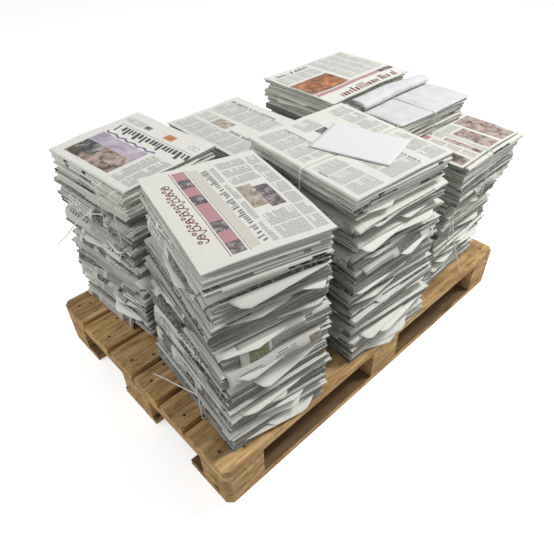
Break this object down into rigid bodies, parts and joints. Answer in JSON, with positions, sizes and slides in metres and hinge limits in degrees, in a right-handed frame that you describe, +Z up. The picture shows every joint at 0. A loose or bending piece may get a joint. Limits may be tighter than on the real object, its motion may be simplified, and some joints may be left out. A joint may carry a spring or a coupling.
{
  "type": "pallet of newspaper stacks",
  "caption": "Wooden pallet loaded with leaning stacks of folded newspapers, a small curled bundle and a blank sheet, some bundles tied with string.",
  "frame": {"origin": "middle of the underside of the pallet's centre bottom board, on the ground", "axes": "+X along the pallet's long side, +Y along its short side, +Z up"},
  "size_m": [1.2126, 0.8494, 0.667],
  "materials": {
    "pallet_wood": "rough sawn, worn",
    "nail_steel": "dull, rusted",
    "newsprint": "matt, printed",
    "cover_paper": "matt, creased",
    "white_paper": "matt",
    "twine": "pale, fibrous"
  },
  "bodies": {
    "root": {"blank_sheet": "white_paper", "block_far_back": "pallet_wood", "block_far_centre": "pallet_wood", "block_far_front": "pallet_wood", "block_middle_back": "pallet_wood", "block_middle_centre": "pallet_wood", "block_middle_front": "pallet_wood", "block_near_back": "pallet_wood", "block_near_centre": "pallet_wood", "block_near_front": "pallet_wood", "bottom_board_back": "pallet_wood", "bottom_board_centre": "pallet_wood", "bottom_board_front": "pallet_wood", "cross_board_far": "pallet_wood", "cross_board_middle": "pallet_wood", "cross_board_near": "pallet_wood", "deck_board_1": "pallet_wood", "deck_board_2": "pallet_wood", "deck_board_3": "pallet_wood", "deck_board_4": "pallet_wood", "deck_board_5": "pallet_wood", "deck_board_6": "pallet_wood", "far_back_stack_lower_bundle": "newsprint", "far_back_stack_middle_bundle": "newsprint", "far_back_stack_top_newspaper": "newsprint", "far_back_stack_upper_bundle": "newsprint", "far_front_stack_lower_bundle": "newsprint", "far_front_stack_middle_bundle": "newsprint", "far_front_stack_middle_string": "twine", "far_front_stack_string_end": "twine", "far_front_stack_top_newspaper": "newsprint", "far_front_stack_upper_bundle": "newsprint", "far_front_stack_upper_string": "twine", "left_stack_lower_bundle": "newsprint", "left_stack_middle_bundle": "newsprint", "left_stack_string_1": "twine", "left_stack_string_2": "twine", "left_stack_string_end": "twine", "left_stack_top_newspaper": "newsprint", "left_stack_upper_bundle": "newsprint", "middle_back_stack_lower_bundle": "newsprint", "middle_back_stack_middle_bundle": "newsprint", "middle_back_stack_top_newspaper": "newsprint", "middle_back_stack_upper_bundle": "newsprint", "middle_front_stack_lower_bundle": "newsprint", "middle_front_stack_middle_bundle": "newsprint", "middle_front_stack_string": "twine", "middle_front_stack_top_newspaper": "newsprint", "middle_front_stack_upper_bundle": "newsprint", "nails": "nail_steel", "near_stack_lower_bundle": "newsprint", "near_stack_middle_bundle": "newsprint", "near_stack_string": "twine", "near_stack_string_end": "twine", "near_stack_top_newspaper": "newsprint", "near_stack_upper_bundle": "newsprint", "small_bundle": "newsprint", "small_bundle_cover": "cover_paper", "small_bundle_string": "twine"}
  },
  "joints": []
}
